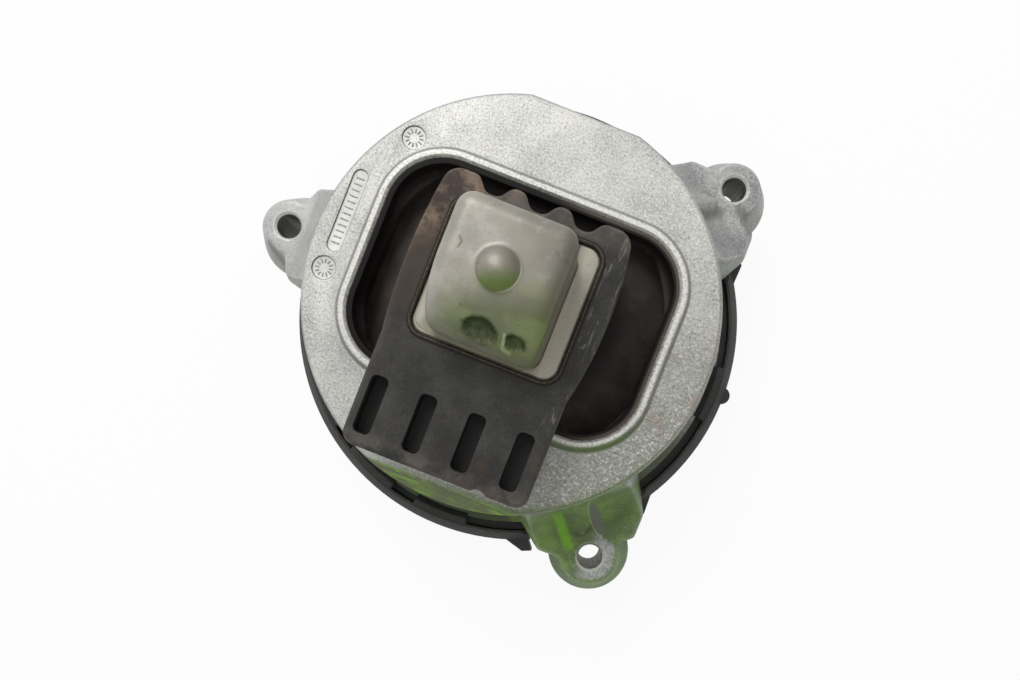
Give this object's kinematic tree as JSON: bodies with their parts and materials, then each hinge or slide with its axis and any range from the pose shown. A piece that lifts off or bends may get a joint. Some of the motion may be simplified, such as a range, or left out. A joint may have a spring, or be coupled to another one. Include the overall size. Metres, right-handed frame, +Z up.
{
  "type": "hydraulic engine mount",
  "caption": "Round cast engine mount with bolt ears, a domed core block held in rubber through its window, a slotted rubber stop buffer and a black lower housing.",
  "frame": {"origin": "on the axis of the core, at the flat underside of the lower housing", "axes": "+Z up along the core, parallel to the ear holes; +X away from the single ear, in the mirror plane between the paired ears"},
  "size_m": [0.1855, 0.1704, 0.108],
  "materials": {
    "cast_housing": "as cast, shot blasted",
    "cast_core": "as cast, smooth",
    "spring_rubber": "moulded",
    "buffer_rubber": "moulded, worn",
    "inner_rubber": "moulded",
    "insert_steel": "pressed",
    "plate_aluminium": "die cast",
    "black_plastic": "moulded"
  },
  "bodies": {
    "root": {"upper_housing": "cast_housing", "core": "cast_core", "rubber_spring": "spring_rubber", "stop_buffer": "buffer_rubber", "spring_insert": "insert_steel", "nozzle_plate": "plate_aluminium", "decoupler_membrane": "inner_rubber", "channel_plate": "plate_aluminium", "rolling_bellows": "inner_rubber", "lower_housing": "black_plastic"}
  },
  "joints": []
}
